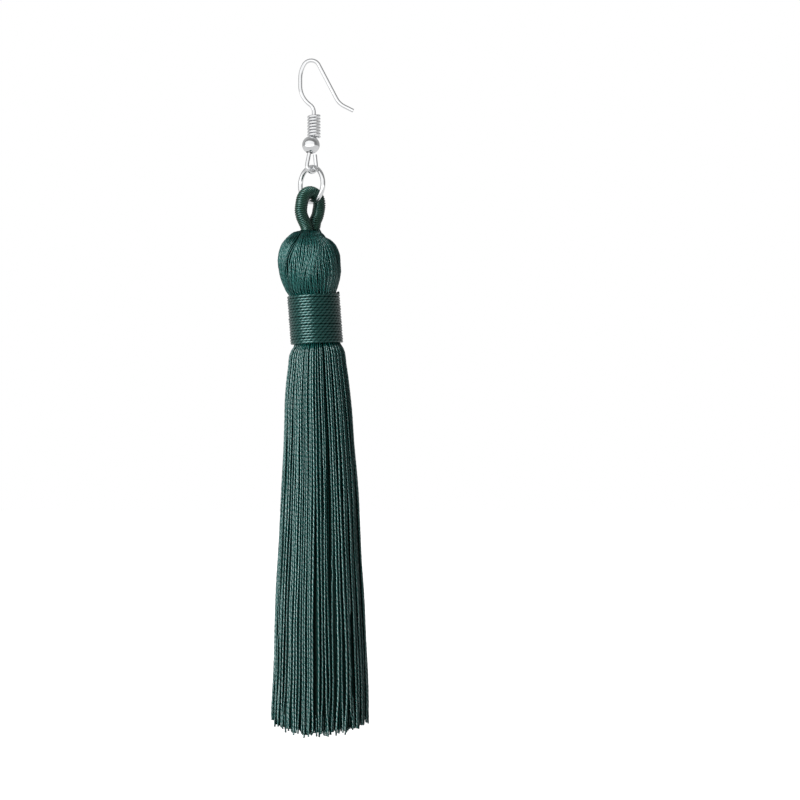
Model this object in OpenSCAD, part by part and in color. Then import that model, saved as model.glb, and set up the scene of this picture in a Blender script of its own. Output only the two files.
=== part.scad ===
// A drop earring: a bent ear wire with a coil, a ball and an eye, a jump ring, a wound cord
// loop, and a long thread tassel with a round head, a bound neck and a hanging skirt.
// Seen from the front, X runs to the right, Y away and Z up. The origin is the lowest point
// inside the crown of the ear wire, where the ear carries it.

/* [Ear wire] */
// Diameter of the ear wire
wire_d = 0.7; // [0.5:0.05:0.85]
// Bend radius of the crown, at the middle of the wire
crown_r = 1.5; // [1.3:0.05:2]
// Angle that the crown turns through before the straight back leg
back_turn = 62.4; // [56:0.2:70]
// Length of the straight back leg
back_len = 6.7; // [4:0.1:9]
// Bend radius where the tip flicks outwards
flick_r = 3.2; // [2:0.1:5]
// Angle that the tip flicks outwards
flick_turn = 36; // [20:1:50]
// Straight length at the tip
tip_len = 1.7; // [0.6:0.1:3]
// Bend radius of the front leg above its straight
belly_r = 4.9; // [3:0.1:6]
// Straight length of the front leg
belly_len = 1.25; // [0.8:0.05:4]
// Bend radius where the front leg turns in towards the stem
waist_r = 4.17; // [3:0.01:5.5]
// Bend radius where the wire turns down into the stem
shoulder_r = 1.6; // [1.2:0.1:2.4]
// Angle of the turn in, undone again at the shoulder
waist_turn = 54.5; // [48:0.5:58]

/* [Coil, ball and eye] */
// Diameter of the coil's wire
coil_wire = 0.45; // [0.35:0.05:0.6]
// Play between the stem and the coil round it
coil_play = 0.375; // [0.3:0.025:0.6]
// Space between one turn of the coil and the next
coil_space = 0.08; // [0.04:0.01:0.3]
// Turns of the coil
coil_turns = 7; // [5:0.5:11]
// Space between the coil's top and the bend of the wire above it
coil_slack = 0.43; // [0.1:0.01:0.6]
// Height that the coil's open end hangs down beside the crown of the ball
coil_nest = 0.35; // [0:0.05:0.4]
// Diameter of the ball
ball_d = 3.1; // [2.6:0.1:4]
// Play between the stem and the bore of the ball
ball_play = 0.25; // [0.2:0.05:0.4]
// Length of the stem inside the coil's lower end that already leans
lean_len = 1.43; // [1.15:0.02:1.5]
// Inside width of the eye
eye_bore = 1.42; // [1.3:0.02:2]
// Height of the eye's open limb, from its round end to the ball
eye_limb = 2.1; // [1.6:0.1:4]
// Angle that the eye's open limb leans in towards the ball
limb_in = 8; // [0:1:12]
// Distance of the eye's middle from the stem's line
eye_side = 0.55; // [0.4:0.05:0.7]
// Angle of the eye's plane from the plane of the hook
eye_yaw = 43; // [0:1:90]

/* [Jump ring] */
// Outside diameter of the jump ring
ring_d = 6.97; // [6.6:0.01:9]
// Diameter of the jump ring's wire
ring_wire = 0.85; // [0.7:0.05:0.95]
// Width of the cut where the jump ring opens
ring_cut = 0.15; // [0.05:0.05:0.4]
// Angle of the cut above the ring's level diameter
cut_angle = 43; // [20:1:60]

/* [Cord loop] */
// Thickness of the wound cord
loop_d = 2.2; // [1.8:0.1:2.5]
// Inside width of the loop
loop_bore = 1.84; // [1.8:0.02:3.2]
// Distance that the loop hangs off the middle, to the left
loop_side = 0.2; // [0:0.02:0.3]
// Angle by which the loop leans, with its lower part to the left
loop_lean = 12; // [0:0.5:15]
// Height from the middle of the loop's round end to the head
loop_drop = 4.69; // [3.8:0.01:6.5]
// Length that the loop's sides run straight below the round end
side_fall = 1.1; // [0.6:0.1:1.5]
// Angle by which the loop's sides lean in more than a straight line to the head does
side_bow = 16; // [10:0.5:20]
// Bend radius of each side below its straight length
side_r = 2.7; // [2.4:0.1:3.2]
// Bend radius where each side turns down again into the head
back_r = 1.6; // [1.3:0.1:1.9]
// Angle at which each end of the cord still leans in
root_lean = 6; // [2:0.5:9]
// Thickness of each end of the cord, where the head grips it
root_d = 1.75; // [1.5:0.05:1.9]
// Distance of each end of the cord from the middle
root_side = 0.72; // [0.7:0.02:0.8]
// Depth of the cord's ends inside the head
root_depth = 0.8; // [0.5:0.1:1.5]

/* [Head and neck] */
// Diameter of the head
head_d = 11.3; // [10:0.1:14]
// Height of the head
head_h = 11.1; // [9:0.1:14]
// Depth of the partings between the head's locks
parting = 0.5; // [0.2:0.05:0.8]
// Outside diameter of the neck binding
wrap_d = 9.35; // [8:0.05:9.6]
// Length of the neck binding
wrap_h = 9.1; // [6:0.1:14]
// Turns of the neck binding
wrap_turns = 18; // [12:1:24]
// Thickness of the binding
wrap_t = 0.5; // [0.4:0.05:0.7]
// Distance of the neck's top from the hanging line
neck_side = 0.3; // [0:0.02:0.5]
// Lean of the neck away from the hanging line
neck_lean = 4.2; // [0:0.1:6]

/* [Skirt] */
// Length of the skirt below the binding, at its edge
skirt_h = 66.8; // [45:0.2:90]
// Diameter of the skirt at its edge
skirt_d = 17.6; // [15:0.1:22]
// Distance that the middle of the skirt hangs below its edge
skirt_dome = 2.4; // [0:0.1:4]
// Locks round the skirt
lock_count = 16; // [12:1:20]
// Depth of the furrows between the skirt's locks, at the edge
furrow = 0.7; // [0.3:0.05:1]
// Largest difference in length between the locks
ragged = 0.8; // [0:0.1:1.5]

/* [Hidden] */
$fn = 48;

// Small gap kept where one piece bears on the next
seat_gap = 0.08;
// Play round the neck inside its binding
neck_play = 0.08;
// The least difference between two wires that run into each other
hair = 0.01;
// How far a thinner stretch of wire or cord runs on into its neighbours
run_on = 5 * hair;
// The bare neck runs on past its binding by this much at either end.
neck_over = 0.17;
silver = "#c9ccd0";
thread_green = "#3f6259";
cord_green = "#24453c";

// A wire path is a list of moves. Each move has a turn in degrees, left turns positive, and
// a size: the bend radius, or the length where the turn is nought.
TURN = 0;
SIZE = 1;
// A place on a path has its two coordinates and its heading.
HEADING = 2;

function after(place, move) =
    let (a = place[HEADING], t = move[TURN], size = move[SIZE], side = sign(t))
    t == 0
    ? [place.x + size * cos(a), place.y + size * sin(a), a]
    : [place.x + side * size * (sin(a + t) - sin(a)),
       place.y - side * size * (cos(a + t) - cos(a)),
       a + t];

function places(moves, start) =
    [for (i = 0, p = start; i <= len(moves); p = i < len(moves) ? after(p, moves[i]) : p, i = i + 1) p];

function last(list) = list[len(list) - 1];

// Lean of the line from the origin that touches the left of a circle below it, and its length
function touch_lean(side, drop, r) = asin(r / norm([side, drop])) - atan(side / drop);
function touch_len(side, drop, r) = sqrt(side * side + drop * drop - r * r);

// The hook lies in the plane of X and Z.
crown = [0, wire_d / 2];
BACK = [
    [-back_turn, crown_r],
    [0, back_len],
    [flick_turn, flick_r],
    [0, tip_len]
];
crown_front = 60;
FRONT = [
    [crown_front, crown_r],
    [90 - crown_front, belly_r],
    [0, belly_len],
    [waist_turn, waist_r],
    [-waist_turn, shoulder_r]
];
shoulder = last(places(FRONT, [crown.x, crown.y, 180]));
stem_x = shoulder.x;

// Heights on the stem, each from the one above it
coil_h = coil_turns * (coil_wire + coil_space) + coil_wire;
coil_r = wire_d / 2 + coil_play + coil_wire / 2;
coil_low = shoulder.y - coil_slack - coil_h;
ball_z = coil_low + coil_nest - seat_gap - ball_d / 2;
limb_top = ball_z - ball_d / 2 - seat_gap;
eye_r = (eye_bore + wire_d) / 2;
eye_z = limb_top - eye_limb;
bend_z = coil_low + lean_len;
bend_r = 4;
// The stem's lean, from its bend to where it touches the round of the eye
lean = touch_lean(-eye_side, bend_z - eye_z, eye_r);
lean_line = touch_len(-eye_side, bend_z - eye_z, eye_r);
bend_half = bend_r * tan(lean / 2);
STEM = [0, shoulder.y - bend_z - bend_half];
EYE = [
    [-lean, bend_r],
    [0, lean_line - bend_half],
    [180 + lean + limb_in, eye_r],
    [0, (eye_limb - eye_r * sin(limb_in)) / cos(limb_in)]
];

// The pieces below the eye hang one under the other on the line below its middle.
hang = [stem_x - eye_side * cos(eye_yaw), -eye_side * sin(eye_yaw)];
ring_r = (ring_d - ring_wire) / 2;
ring_z = eye_z - eye_r + (wire_d + ring_wire) / 2 + seat_gap - ring_r;
loop_r = (loop_bore + loop_d) / 2;
// The ring's wire bears on the inside of the loop's round end.
rest_r = (loop_bore - ring_wire) / 2 - seat_gap;
loop_z = ring_z - ring_r - sqrt(rest_r * rest_r - loop_side * loop_side);
loop_at = hang - loop_side * [cos(eye_yaw), sin(eye_yaw)];
rim_z = loop_z - loop_drop;
root_z = rim_z - root_depth;
root_drop = loop_z - root_z;

// Moves of one side of the loop, from the end of its round: straight, a bend inwards, straight,
// a bend back and the root. They are told as for the right side, from the line that the loop
// leans on, with side one for the right and minus one for the left. The last two straight
// lengths are what the bends leave of the way in and of the way down.
function cord_side(side) =
    let (
        way_in = loop_r - root_side * cos(loop_lean) - side * root_drop * sin(loop_lean),
        way_down = root_drop * cos(loop_lean) - side * root_side * sin(loop_lean) - side_fall,
        end = root_lean - side * loop_lean,
        lean = atan(way_in / way_down) + side_bow,
        left_in = way_in - side_r * (1 - cos(lean)) - back_r * (cos(end) - cos(lean)),
        left_down = way_down - side_r * sin(lean) - back_r * (sin(lean) - sin(end)))
    [
        [0, side_fall],
        [-lean, side_r],
        [0, (left_in * cos(end) - left_down * sin(end)) / sin(lean - end)],
        [lean - end, back_r],
        [0, (left_down * sin(lean) - left_in * cos(lean)) / sin(lean - end)]
    ];
root_len = min(last(cord_side(1))[SIZE], last(cord_side(-1))[SIZE]);

// The neck's axis runs down from its top and leans to the right.
neck_top = [hang.x + neck_side, rim_z - head_h];
neck_low = neck_top + wrap_h * [sin(neck_lean), -cos(neck_lean)];
neck_r = wrap_d / 2 - wrap_t - neck_play;
edge_z = neck_low.y - skirt_h;

// Sections of the head: the drop below its rim as a share of its height, and the radius and
// the step to the right as shares of its radius
HEAD_DROP = 0;
HEAD_RADIUS = 1;
HEAD_STEP = 2;
HEAD = [
    [0.06, 0.525, -0.14],
    [0.11, 0.62, -0.155],
    [0.157, 0.745, -0.116],
    [0.237, 0.87, -0.093],
    [0.317, 0.937, -0.086],
    [0.41, 0.98, -0.081],
    [0.52, 0.995, -0.078],
    [0.65, 0.98, -0.063],
    [0.78, 0.93, -0.053],
    [0.89, 0.855, -0.047],
    [0.955, 0.80, -0.037]
];

// Partings of the head: their bearing at the rim and at the neck, in degrees to the left from
// the right hand side, and their depth as a share of the deepest
PART_RIM = 0;
PART_NECK = 1;
PART_DEPTH = 2;
PARTINGS = [
    [250, 208, 1],
    [332, 350, 0.6],
    [28, 46, 0.8],
    [96, 112, 0.7],
    [170, 150, 0.8]
];
// Half the width of a parting, in degrees
part_width = 6;
// Power of the drop that sets where the partings are deepest: below one is above the middle
part_peak = 0.6;
// Power of the drop with which the head's sections take on the lean of the neck
lean_on = 3;

// Sections of the skirt: the drop as a share of its length, and the radius and the step to
// the right as shares of its radius at the edge
SKIRT_DROP = 0;
SKIRT_RADIUS = 1;
SKIRT_STEP = 2;
SKIRT = [
    [0.012, 0.53, 0],
    [0.06, 0.6, 0.005],
    [0.135, 0.668, 0.014],
    [0.245, 0.724, 0.037],
    [0.39, 0.793, 0.056],
    [0.54, 0.852, 0.058],
    [0.72, 0.93, 0.062],
    [0.87, 0.969, 0.07],
    [0.965, 0.996, 0.066],
    [0.992, 1, 0.064]
];
// Rings of the cut end, as shares of the skirt's radius
CUT_END = [0.95, 0.74, 0.42];

// Power with which the skirt's sections turn level again below the neck
lean_off = 8;
// Share of the skirt's length, at its end, over which the locks part in length
part_share = 0.1;

lock_points = 7;
ring_points = lock_count * lock_points;
// Shift of the points round a ring, in degrees, once and again faster, and where it starts
shift = 4;
fast_shift = 1.5;
shift_start = 50;
// Turn from one lock to the next in the run of their lengths
lock_turn = 137;

// Bearing of each point of a ring: the locks are a little uneven in width
function bearing(i) =
    let (a = 360 * i / ring_points)
    a + shift * sin(2 * a + shift_start) + fast_shift * sin(5 * a);
// Roundness of a lock across its width, nought in the furrow and one on its back
function roundness(i) = let (t = (i % lock_points) / lock_points) sqrt(1 - pow(2 * t - 1, 2));
// How much longer each lock hangs, from nought to one
function longer(i) = (1 + sin(lock_turn * floor(i / lock_points))) / 2;

// Depth of the head's partings at a bearing, with the drop as a share of the head's height
function parted(a, drop) =
    max([for (p = PARTINGS)
        let (line = p[PART_RIM] + (p[PART_NECK] - p[PART_RIM]) * drop,
             off = (a - line + 540) % 360 - 180)
        p[PART_DEPTH] * exp(-pow(off / part_width, 2))]);

// Reach of the two cord ends side by side, at a bearing from the line that joins them
function pair_reach(side, r, a) =
    abs(r * cos(a)) <= abs(side * sin(a))
    ? r / abs(sin(a))
    : side * abs(cos(a)) + sqrt(max(0, r * r - pow(side * sin(a), 2)));

function ring_at(x, z, radius, slope, y = hang.y) =
    [for (i = [0 : ring_points - 1])
        let (a = bearing(i), r = radius[i])
        [x + r * cos(a), y + r * sin(a), z[i] + slope * r * cos(a)]];

function even(value) = [for (i = [0 : ring_points - 1]) value];

function pocket_ring(side, r, z) =
    ring_at(
        loop_at.x, even(z),
        [for (i = [0 : ring_points - 1]) pair_reach(side, r, bearing(i) - eye_yaw)],
        0, loop_at.y);

function head_ring(row) =
    let (drop = row[HEAD_DROP], r = row[HEAD_RADIUS] * head_d / 2, low = pow(drop, lean_on))
    ring_at(
        hang.x + row[HEAD_STEP] * head_d / 2 + neck_side * low,
        even(rim_z - drop * head_h),
        [for (i = [0 : ring_points - 1])
            r - parting * parted(bearing(i), drop) * sin(180 * pow(drop, part_peak))],
        tan(neck_lean) * low);

function skirt_ring(row) =
    let (drop = row[SKIRT_DROP],
         r = row[SKIRT_RADIUS] * skirt_d / 2,
         end = max(0, drop - 1 + part_share) / part_share)
    ring_at(
        neck_low.x + row[SKIRT_STEP] * skirt_d / 2,
        [for (i = [0 : ring_points - 1]) neck_low.y - drop * skirt_h - end * ragged * (longer(i) - 0.5)],
        [for (i = [0 : ring_points - 1]) r - furrow * drop * (1 - roundness(i))],
        tan(neck_lean) * pow(1 - drop, lean_off));

function end_ring(share) =
    let (row = last(SKIRT))
    ring_at(
        neck_low.x + row[SKIRT_STEP] * skirt_d / 2,
        [for (i = [0 : ring_points - 1])
            edge_z - skirt_dome * (1 - share * share)
            - ragged * share * (longer(i) - 0.5) + furrow * share * (1 - roundness(i))],
        [for (i = [0 : ring_points - 1]) share * (skirt_d / 2 - furrow * (1 - roundness(i)))],
        0);

// Faces between rings of n points, numbered from first, with a centre point at either end
function side_faces(rings, n, first) =
    [for (j = [0 : rings - 2], i = [0 : n - 1], half = [0, 1])
        let (k = (i + 1) % n, up = first + j * n, down = up + n)
        half == 0 ? [up + i, up + k, down + k] : [up + i, down + k, down + i]];

function cap_faces(n, centre, first, turn) =
    [for (i = [0 : n - 1])
        let (k = (i + 1) % n)
        turn ? [centre, first + k, first + i] : [centre, first + i, first + k]];

// A closed skin over rings of points, from the centre of one end to the centre of the other.
// Seen from the first end, looking along, the points of each ring run clockwise.
module skin(start, rings, end) {
    n = len(rings[0]);
    count = len(rings) * n;
    polyhedron(
        points = concat([start], [for (ring = rings) each ring], [end]),
        faces = concat(
            cap_faces(n, 0, 1, true),
            side_faces(len(rings), n, 1),
            cap_faces(n, count + 1, count + 1 - n, false)));
}

// A wire bent along a path in the plane of its first two axes. Every other stretch is a hair
// thinner and runs on into its neighbours, so that all the stretches join into one solid.
module bent_wire(moves, start, d, thin_first) {
    path = places(moves, start);
    for (i = [0 : len(moves) - 1]) {
        p = path[i];
        turn = moves[i][TURN];
        size = moves[i][SIZE];
        side = sign(turn);
        thin = (i % 2 == 0) == thin_first;
        wire = thin ? d - hair : d;
        over = thin ? run_on : 0;
        more = turn == 0 ? 0 : over / size * 180 / PI;
        if (turn == 0)
            translate([p.x, p.y, 0]) rotate([0, 90, p[HEADING]])
                translate([0, 0, -over]) cylinder(d = wire, h = size + 2 * over);
        else
            translate([p.x - side * size * sin(p[HEADING]), p.y + side * size * cos(p[HEADING]), 0])
                rotate([0, 0, p[HEADING] - side * 90 + min(0, turn) - more])
                    rotate_extrude(angle = abs(turn) + 2 * more) translate([size, 0]) circle(d = wire);
    }
}

// Stands a flat path up, with its second axis along Z
module upright(x, yaw) {
    translate([x, 0, 0]) rotate([0, 0, yaw]) rotate([90, 0, 0]) children();
}

module ear_hook() {
    color(silver) {
        upright(0, 0) {
            bent_wire(BACK, [crown.x, crown.y, 0], wire_d, false);
            bent_wire(concat(FRONT, [STEM]), [crown.x, crown.y, 180], wire_d, true);
        }
        upright(stem_x, eye_yaw) bent_wire(EYE, [0, bend_z + bend_half, 270], wire_d, true);
    }
}

module hook_coil() {
    steps = 14;
    sides = 6;
    count = ceil(coil_turns * steps);
    rise = coil_wire + coil_space;
    slope = atan(rise / (2 * PI * coil_r));
    middle = function (turns)
        [coil_r * cos(360 * turns), coil_r * sin(360 * turns), coil_wire / 2 + rise * turns];
    rings = [for (i = [0 : count])
        let (turns = coil_turns * i / count, a = 360 * turns)
        [for (k = [0 : sides - 1])
            let (b = 360 * (k + 0.5) / sides, out = coil_wire / 2 * cos(b), up = coil_wire / 2 * sin(b))
            middle(turns)
            + out * [cos(a), sin(a), 0]
            + up * [sin(a) * sin(slope), -cos(a) * sin(slope), cos(slope)]]];
    color(silver) translate([stem_x, 0, coil_low]) skin(middle(0), rings, middle(coil_turns));
}

module hook_ball() {
    along = (bend_z - ball_z) * tan(lean);
    color(silver)
        translate([stem_x, 0, ball_z]) rotate([0, 0, eye_yaw]) translate([-along, 0, 0])
            difference() {
                sphere(d = ball_d);
                rotate([0, lean, 0]) cylinder(d = wire_d + 2 * ball_play, h = 2 * ball_d, center = true);
            }
}

module jump_ring() {
    gap = 2 * asin(ring_cut / 2 / ring_r);
    color(silver)
        translate([hang.x, hang.y, ring_z]) rotate([0, 0, eye_yaw - 90]) rotate([90, 0, 0])
            rotate([0, 0, cut_angle + gap / 2])
                rotate_extrude(angle = 360 - gap) translate([ring_r, 0]) circle(d = ring_wire);
}

module thread_loop() {
    color(cord_green)
        translate([loop_at.x, loop_at.y, loop_z]) rotate([0, 0, eye_yaw]) rotate([90, 0, 0]) {
            rotate([0, 0, -loop_lean])
                rotate_extrude(angle = 180) translate([loop_r, 0]) circle(d = loop_d);
            for (m = [0, 1]) {
                moves = cord_side(1 - 2 * m);
                root = len(moves) - 1;
                rotate([0, 0, -loop_lean]) mirror([m, 0, 0])
                    bent_wire([for (i = [0 : root - 1]) moves[i]], [loop_r, 0, 270], loop_d, true);
                mirror([m, 0, 0]) translate([root_side, -root_drop, 0]) rotate([-90, 0, -root_lean])
                    cylinder(d1 = root_d, d2 = loop_d - 2 * hair, h = moves[root][SIZE] + run_on);
            }
        }
}

module tassel() {
    grip = root_side + root_depth * tan(root_lean);
    floor_z = root_z - root_d / 2 * sin(root_lean) - seat_gap;
    thick = root_d / 2 + seat_gap;
    rim_thick = (thick + (loop_d - root_d) / 2 * min(1, root_depth / root_len)) / cos(root_lean);
    pocket = [pocket_ring(root_side, thick, floor_z), pocket_ring(grip, rim_thick, rim_z)];
    neck = [
        ring_at(neck_top.x, even(neck_top.y + neck_over), even(neck_r), tan(neck_lean)),
        ring_at(neck_low.x, even(neck_low.y - neck_over), even(neck_r), tan(neck_lean))
    ];
    rings = concat(
        pocket, [for (row = HEAD) head_ring(row)], neck, [for (row = SKIRT) skirt_ring(row)],
        [for (share = CUT_END) end_ring(share)]);
    step = last(SKIRT)[SKIRT_STEP] * skirt_d / 2;
    color(thread_green)
        skin([loop_at.x, loop_at.y, floor_z], rings, [neck_low.x + step, hang.y, edge_z - skirt_dome]);
}

module neck_wrap() {
    pitch = wrap_h / wrap_turns;
    inside = wrap_d / 2 - wrap_t;
    ridge = min(pitch / 2, wrap_t * 0.6);
    furrow_r = wrap_d / 2 - ridge;
    ridges = [for (turn = [0 : wrap_turns - 1], a = [90, 45, 0, -45])
        [furrow_r + ridge * cos(a), -(turn + 0.5) * pitch + pitch / 2 * sin(a)]];
    ends = [[furrow_r, -wrap_h], [inside, -wrap_h], [inside, 0]];
    color(cord_green)
        translate([neck_top.x, hang.y, neck_top.y]) rotate([0, -neck_lean, 0])
            rotate_extrude() polygon(concat(ridges, ends));
}

ear_hook();
hook_coil();
hook_ball();
jump_ring();
thread_loop();
tassel();
neck_wrap();
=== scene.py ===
"""Dresses a drop earring: bright silver wire, a cord loop wound with thread, and a tassel of
twisted threads with a bound neck. Lengths are in metres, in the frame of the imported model: X to
the right, Y away from the front, Z up, from the lowest point inside the crown of the ear wire."""

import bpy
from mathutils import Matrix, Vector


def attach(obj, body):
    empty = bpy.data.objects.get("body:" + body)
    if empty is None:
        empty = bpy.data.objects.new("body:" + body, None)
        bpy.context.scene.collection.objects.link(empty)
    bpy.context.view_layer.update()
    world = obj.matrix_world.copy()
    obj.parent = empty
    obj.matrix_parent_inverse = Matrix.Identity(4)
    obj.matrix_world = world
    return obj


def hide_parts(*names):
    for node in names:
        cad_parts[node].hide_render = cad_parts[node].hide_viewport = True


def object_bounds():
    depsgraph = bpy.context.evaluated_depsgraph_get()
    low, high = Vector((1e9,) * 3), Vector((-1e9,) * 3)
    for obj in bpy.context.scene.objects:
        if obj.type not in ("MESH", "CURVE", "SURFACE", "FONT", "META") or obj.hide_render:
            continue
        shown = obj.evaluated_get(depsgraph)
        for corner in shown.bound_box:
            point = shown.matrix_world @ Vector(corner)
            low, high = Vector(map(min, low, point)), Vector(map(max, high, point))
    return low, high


bl_info = {
    "name": "Tassel Earring",
    "version": (1, 0, 0),
    "blender": (4, 5, 0),
    "location": "3D View > Sidebar > Earring",
    "description": "Lays twisted threads over a tassel earring and finishes its wire",
    "category": "Object",
}

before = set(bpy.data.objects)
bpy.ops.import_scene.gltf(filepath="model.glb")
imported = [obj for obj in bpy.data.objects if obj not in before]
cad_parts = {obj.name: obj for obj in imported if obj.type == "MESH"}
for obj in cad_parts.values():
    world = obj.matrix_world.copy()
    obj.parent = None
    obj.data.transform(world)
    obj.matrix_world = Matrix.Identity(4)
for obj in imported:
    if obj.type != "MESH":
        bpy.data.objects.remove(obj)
CAD_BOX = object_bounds()

import math

import bpy
import numpy as np
from bpy.props import FloatProperty, FloatVectorProperty, IntProperty, PointerProperty
from mathutils import Vector

MM = 0.001
TURN = 2 * math.pi
# Turn from one cut end to the next, which spreads the ends evenly
GOLDEN = TURN * 0.381966
# Sides of a thread, the steps in which it is laid for each turn of its plies, and the shares of the
# set twist length that single threads have
THREAD_SIDES = 6
TWIST_STEPS = 6
TWISTS = 0.8, 1.3

# The line that the ring, the loop and the tassel hang on, and the angle of the eye's plane
HANG = np.array([0.0616, -0.3751]) * MM
EYE_YAW = math.radians(43)
YAW = np.array([math.cos(EYE_YAW), math.sin(EYE_YAW)])

# The coil round the stem
STEM_X = 0.4638 * MM
COIL_LOW = -13.387 * MM
COIL_R = 0.95 * MM
COIL_WIRE = 0.45 * MM
COIL_RISE = 0.53 * MM
COIL_TURNS = 7
COIL_STEPS = 36
COIL_SIDES = 12

# The cord loop: a half ring on a leaning line, then sides that run straight, bend inwards, run
# straight, bend back and end in tapered roots inside the head
LOOP_AT = HANG - 0.2 * MM * YAW
LOOP_Z = -25.0861 * MM
LOOP_R = 2.02 * MM
LOOP_CORD = 2.2 * MM
LOOP_LEAN = math.radians(12)
SIDE_FALL = 1.1 * MM
SIDE_R = 2.7 * MM
SIDE_BOW = math.radians(16)
BACK_R = 1.6 * MM
ROOT_CORD = 1.75 * MM
ROOT_LEAN = math.radians(6)
ROOT_SIDE = 0.72 * MM
ROOT_DROP = 5.49 * MM
# The winding: how much wider a turn is than its room along the cord, how much of its width stays
# free at the cord's ends, how much of the plies' depth shows, how far its round crests stand out
# over the smooth cord, and its steps in a turn
LOOP_PRESS = 1.12
LOOP_END = 0.2
LOOP_PLY = 0.4
LOOP_SWELL = 0.04 * MM
LOOP_STEPS = 28
# Steps over which the cord's line is averaged, so that its bends run into each other
LOOP_BLUR = 31
# The cord inside the winding: how far below the surface it lies, in widths of a turn, its painted
# shade, which darkens the thread's colour and gloss, its step in steps of the winding, and its
# sides
INNER_DEPTH = 0.6
INNER_SHADE = 0.5
INNER_STEP = 14
INNER_SIDES = 16

# The head and the neck below it, whose axis leans
RIM_Z = -29.7761 * MM
HEAD_R = 5.65 * MM
HEAD_H = 11.1 * MM
PARTING = 0.5 * MM
NECK_TOP = np.array([0.3616, -40.8761]) * MM
NECK_LOW = np.array([1.028, -49.9517]) * MM
NECK_SIDE = 0.3 * MM
NECK_LEAN = math.radians(4.2)

# The binding: its outline, how far its crests lie inside that, the radius of its thread as a share
# of a turn's room, its steps in a turn, and how it sways outwards and up and down: the size and
# the waves in a turn
WRAP_R = 4.675 * MM
WRAP_H = 9.1 * MM
WRAP_INSET = 0.02 * MM
WRAP_FILL = 0.52
WRAP_STEPS = 110
WRAP_RISE = 0.035 * MM, (0.37, 0.83, 1.71)
WRAP_SHIFT = 0.04 * MM, (0.29, 0.61)

# The mouth of the head, round the two ends of the cord
MOUTH_SIDE = 0.804 * MM
MOUTH_R = 1.06 * MM

# Stages of the head from inside its mouth to under the binding: the drop below the rim as a share
# of the height, the radius and the step to the right as shares of the radius, and how much of
# the mouth's form is left
HEAD = np.array([
    [0.070, 0.30, -0.10, 1.0],
    [-0.004, 0.30, -0.10, 1.0],
    [0.026, 0.43, -0.133, 0.0],
    [0.060, 0.525, -0.14, 0.0],
    [0.110, 0.62, -0.155, 0.0],
    [0.157, 0.745, -0.116, 0.0],
    [0.237, 0.87, -0.093, 0.0],
    [0.317, 0.937, -0.086, 0.0],
    [0.410, 0.98, -0.081, 0.0],
    [0.520, 0.995, -0.078, 0.0],
    [0.650, 0.98, -0.063, 0.0],
    [0.780, 0.93, -0.053, 0.0],
    [0.890, 0.855, -0.047, 0.0],
    [0.955, 0.80, -0.037, 0.0],
    [1.020, 0.735, -0.020, 0.0],
    [1.090, 0.725, -0.010, 0.0],
])

# Partings of the head: the bearing at the rim and at the neck in degrees, and the depth as a share
PARTINGS = np.array([
    [250, 208, 1.0],
    [332, 350, 0.6],
    [28, 46, 0.8],
    [96, 112, 0.7],
    [170, 150, 0.8],
])
PART_WIDTH = 6

# Course of the head's threads: a sway of the bearing in radians that comes five times round, a
# slow wander of it, how much a parting pushes a thread away, how deep the threads lie, and how
# unevenly. A wander is its size and its waves along a thread
HEAD_SWAY = 0.06
HEAD_WANDER = 0.018, (0.7, 1.6, 3.1)
PART_PUSH = 0.15
HEAD_DEPTH = 0.04 * MM
HEAD_RISE = 0.06 * MM, (1.2, 2.7, 4.9)
# Share of its width that a thread has at the mouth, and the share of the head's radius at which it
# has all of it
GATHERED = 0.55
GATHERED_TO = 0.75
# Shades of the head's threads, which differ at random, the painted shadow of a parting: the share
# of colour and gloss that it takes off and its width in degrees, and the painted shade at the
# mouth, which fades out down the head
HEAD_SHADES = 0.5, 0.95
PART_SHADE = 0.6
PART_SHADOW = 5
MOUTH_SHADE = 0.45
MOUTH_FADE = 2.2

# The skirt, whose furrows between the locks the threads follow by the share LAY
SKIRT_H = 66.8 * MM
SKIRT_R = 8.8 * MM
FURROW = 0.7 * MM
LOCKS = 16
LAY = 0.5
# How much lower the cut runs at the middle of the front and the back than at the sides
CUT_ARC = 1.2 * MM
# How much higher than the solid's edge the threads end on average
CUT_LIFT = 0.55 * MM

# Stages of the skirt from inside the binding to its edge: the drop as a share of its length, and
# the radius and the step to the right as shares of its radius at the edge
SKIRT = np.array([
    [-0.03, 0.46, 0],
    [0.0, 0.475, 0],
    [0.012, 0.53, 0],
    [0.06, 0.6, 0.005],
    [0.135, 0.668, 0.014],
    [0.245, 0.724, 0.037],
    [0.39, 0.793, 0.056],
    [0.54, 0.852, 0.058],
    [0.72, 0.93, 0.062],
    [0.87, 0.969, 0.07],
    [0.965, 0.996, 0.066],
    [1.0, 1.0, 0.064],
])

# Course of the skirt's threads, in the room of one thread: how unevenly they are spread, how far
# their ends splay, a slow wander and a short one
JITTER = 0.45
SPLAY = 0.7
SKIRT_WANDER = 0.5, (0.55, 1.3)
SKIRT_TREMBLE = 0.12, (4.7, 11.3, 19.1)
# Bunches of threads, in turns: the size, the number round the skirt, the drift along it, the phase
BUNCHES = ((0.0008, 13, 0.35, 0.4), (0.0006, 23, -0.35, 2.1), (0.0006, 37, 0.21, 4.0))
# Depth of the under layer of threads below the upper one, the most that a thread lies deeper than
# its layer, and how unevenly it does
UNDER = 0.42 * MM
SKIRT_DEPTH = 0.24 * MM
SKIRT_RISE = 0.14 * MM, (0.8, 1.7, 3.9)
# Widths of the skirt's threads and their share of it at the neck, their shades, which differ at
# random, and the painted shade that darkens them down to the edge: the share of colour and gloss
# lost there
SKIRT_WIDTHS = 0.85, 1.1
NECK_WIDTH = 0.8
SKIRT_SHADES = 0.45, 1.3
PAINTED_EDGE_SHADE = 0.2

# The cut ends inside the skirt: their length, steps and sides, how far their feet are off an even
# spread, their lean, the depth of their plies and their shades
END_LENGTH = 3.2 * MM
END_STEPS = 9
END_SIDES = 4
END_SHIFT = 0.05 * MM
END_LEAN = 0.04
END_PLY = 0.15
END_SHADES = 0.4, 1.1
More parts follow.
